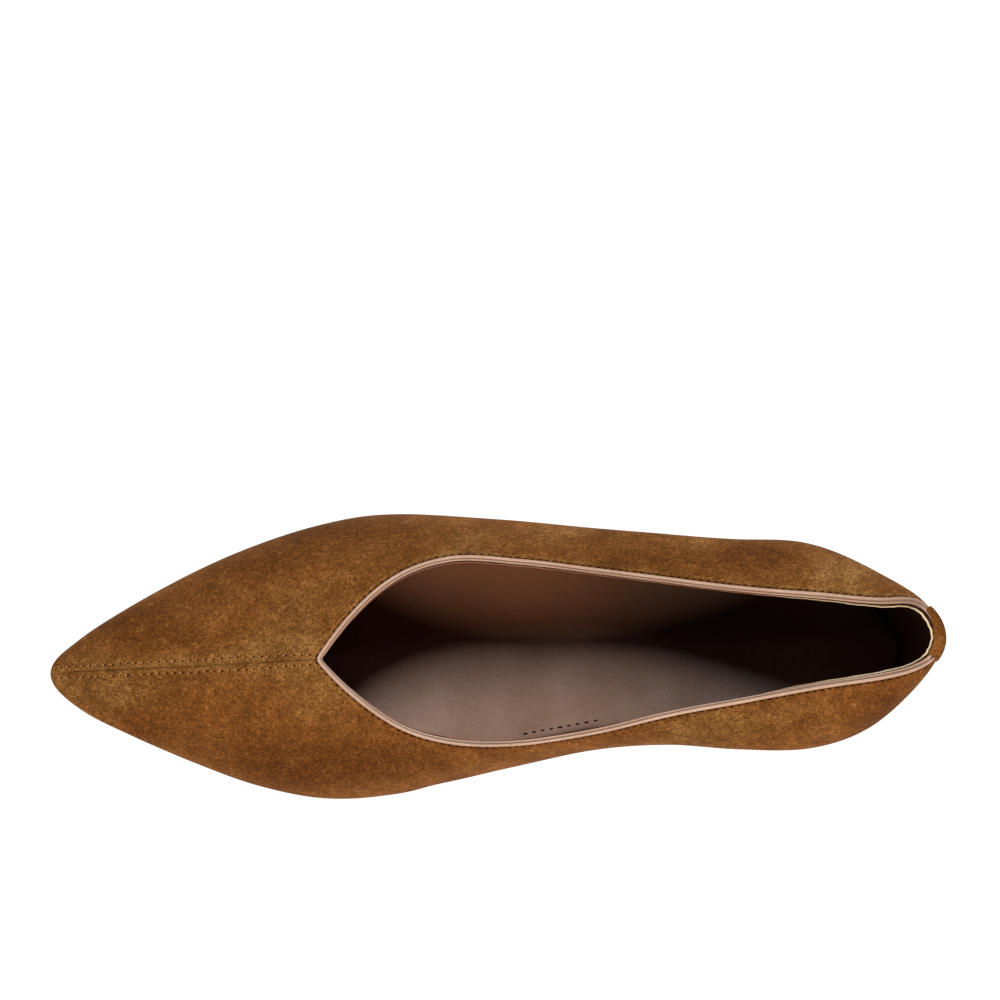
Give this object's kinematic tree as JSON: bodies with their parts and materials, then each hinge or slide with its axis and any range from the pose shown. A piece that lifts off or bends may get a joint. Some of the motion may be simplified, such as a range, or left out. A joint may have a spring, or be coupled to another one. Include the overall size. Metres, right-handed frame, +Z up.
{
  "type": "kitten heel pump",
  "caption": "Pointed suede pump for the right foot, with a notched throat, a leather bound topline, a back tab and a low tapered kitten heel.",
  "frame": {"origin": "middle of the shoe's box, on the floor it stands on", "axes": "-X towards the toe and +X towards the heel, +Y towards the outer side of the right foot, +Z up"},
  "size_m": [0.2542, 0.0848, 0.1084],
  "materials": {
    "suede": "napped tan suede, matt",
    "binding_leather": "smooth, satin",
    "insole_leather": "smooth, satin",
    "sole_leather": "smooth, semi-gloss",
    "tip_rubber": "matt"
  },
  "bodies": {
    "root": {"upper": "suede", "topline_binding": "binding_leather", "back_tab": "suede", "insole": "insole_leather", "outsole": "sole_leather", "heel": "suede", "heel_tip": "tip_rubber"}
  },
  "joints": []
}
